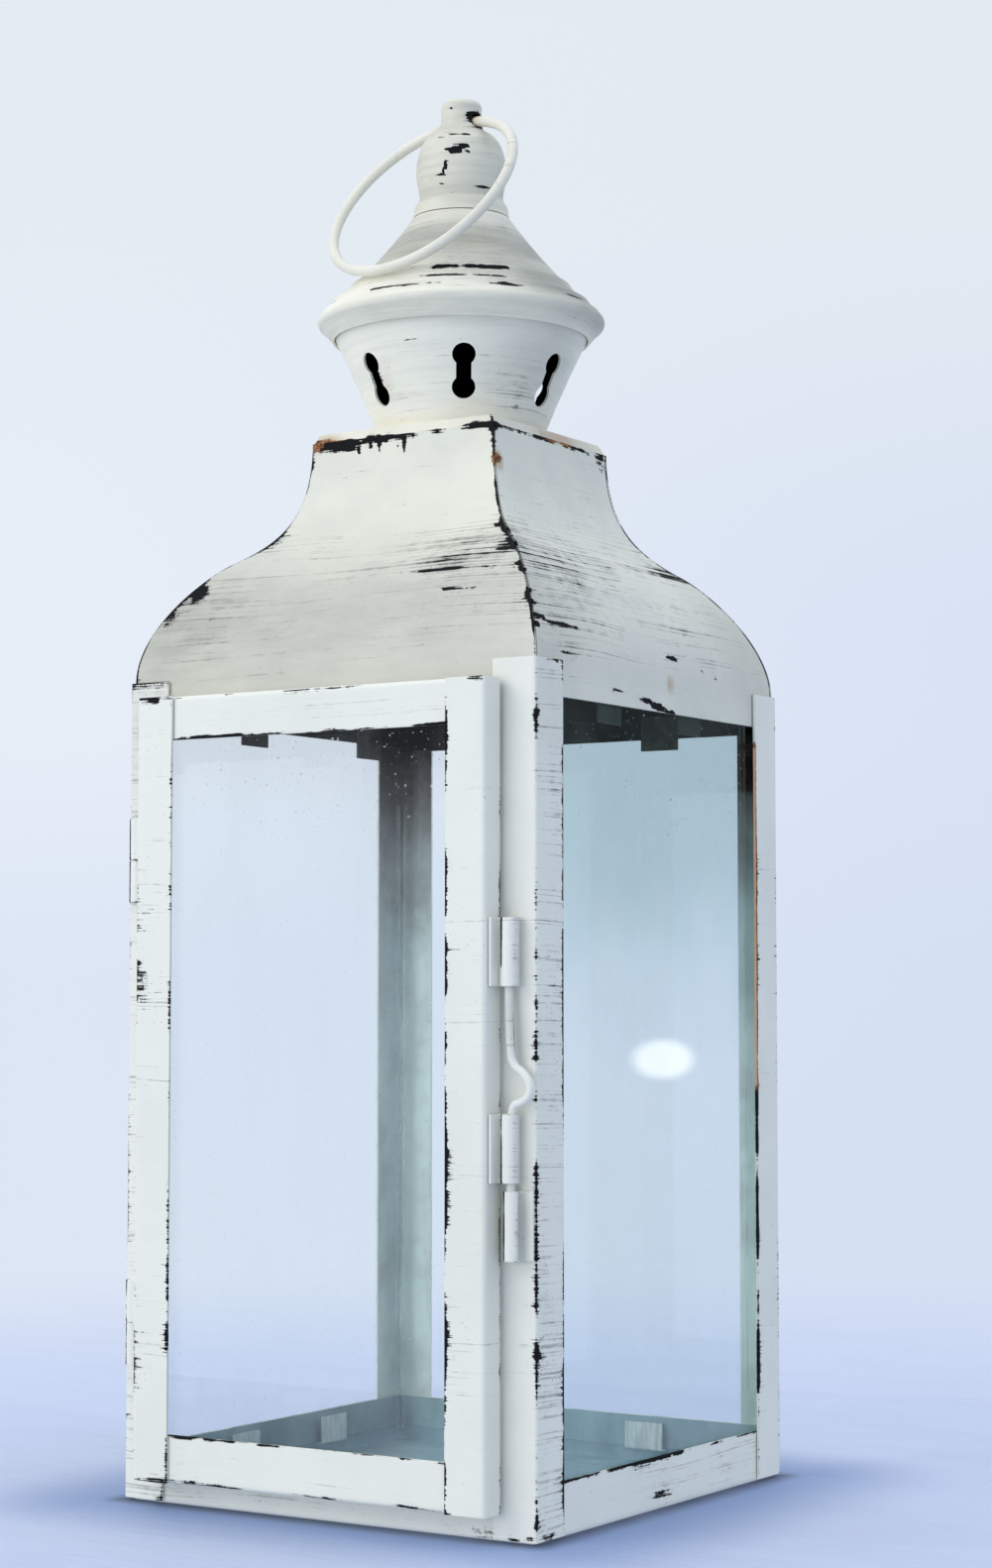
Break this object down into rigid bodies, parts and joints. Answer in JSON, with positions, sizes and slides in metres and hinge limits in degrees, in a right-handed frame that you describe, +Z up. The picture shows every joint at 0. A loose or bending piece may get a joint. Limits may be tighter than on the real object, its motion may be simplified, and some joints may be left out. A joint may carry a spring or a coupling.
{
  "type": "candle lantern",
  "caption": "Square sheet-metal candle lantern with glazed sides, ogee roof, vented chimney, spun cap and finial, hinged door with sliding bolt, and swinging carrying ring.",
  "frame": {"origin": "on the lantern's vertical axis, at the underside of the base pan, which stands on the floor", "axes": "+Z up, the door faces -Y, its hinges are on the -X side and its bolt on the +X side"},
  "size_m": [0.1513, 0.1603, 0.4462],
  "materials": {
    "frame_paint": "creamy white paint, rubbed through to black along the bends and edges",
    "door_paint": "creamy white satin paint with short dark wear strokes on the edges",
    "roof_paint": "creamy white paint with dry-brushed dark streaks and black worn hips",
    "top_plate_paint": "white paint, heavily worn to black with rust-brown patches",
    "chimney_paint": "creamy white paint with dark rings of wear",
    "ring_paint": "creamy white painted wire with small chips",
    "fitting_paint": "creamy white paint, thin and chipped on the rolled edges",
    "clip_metal": "thinly painted, greyish sheet",
    "glass": "clear float glass with light dust"
  },
  "bodies": {
    "housing": {"base_pan": "frame_paint", "chimney": "chimney_paint", "chimney_cap": "chimney_paint", "clip_back_lower_1": "clip_metal", "clip_back_lower_2": "clip_metal", "clip_back_upper_1": "clip_metal", "clip_back_upper_2": "clip_metal", "clip_left_lower_1": "clip_metal", "clip_left_lower_2": "clip_metal", "clip_left_upper_1": "clip_metal", "clip_left_upper_2": "clip_metal", "clip_right_lower_1": "clip_metal", "clip_right_lower_2": "clip_metal", "clip_right_upper_1": "clip_metal", "clip_right_upper_2": "clip_metal", "finial": "chimney_paint", "hinge_lower_pin": "fitting_paint", "hinge_lower_post_leaf": "fitting_paint", "hinge_upper_pin": "fitting_paint", "hinge_upper_post_leaf": "fitting_paint", "latch_keeper": "fitting_paint", "pane_back": "glass", "pane_left": "glass", "pane_right": "glass", "post_back_left": "frame_paint", "post_back_right": "frame_paint", "post_front_left": "frame_paint", "post_front_right": "frame_paint", "roof_panel_back": "roof_paint", "roof_panel_front": "roof_paint", "roof_panel_left": "roof_paint", "roof_panel_right": "roof_paint", "roof_top_plate": "top_plate_paint"},
    "door": {"clip_door_lower_1": "clip_metal", "clip_door_lower_2": "clip_metal", "clip_door_upper_1": "clip_metal", "clip_door_upper_2": "clip_metal", "door_pane": "glass", "door_rail_bottom": "door_paint", "door_rail_top": "door_paint", "door_stile_hinge": "door_paint", "door_stile_latch": "door_paint", "hinge_lower_door_leaf": "fitting_paint", "hinge_upper_door_leaf": "fitting_paint", "latch_barrel_lower": "fitting_paint", "latch_barrel_upper": "fitting_paint"},
    "latch_bolt": {"latch_bolt": "fitting_paint"},
    "ring_handle": {"ring_handle": "ring_paint"}
  },
  "joints": [
    {"name": "door_hinge", "type": "hinge", "parent": "housing", "child": "door", "pos_m": [-0.0685, -0.0785, 0.126], "axis": [0, 0, -1], "range_deg": [0, 150]},
    {"name": "bolt_slide", "type": "slide", "parent": "door", "child": "latch_bolt", "axis": [0, 0, 1], "range_m": [0, 0.0185]},
    {"name": "ring_swing", "type": "hinge", "parent": "housing", "child": "ring_handle", "pos_m": [0, 0, 0.4387], "axis": [-0.9925, 0.1219, 0], "range_deg": [0, 289]}
  ]
}
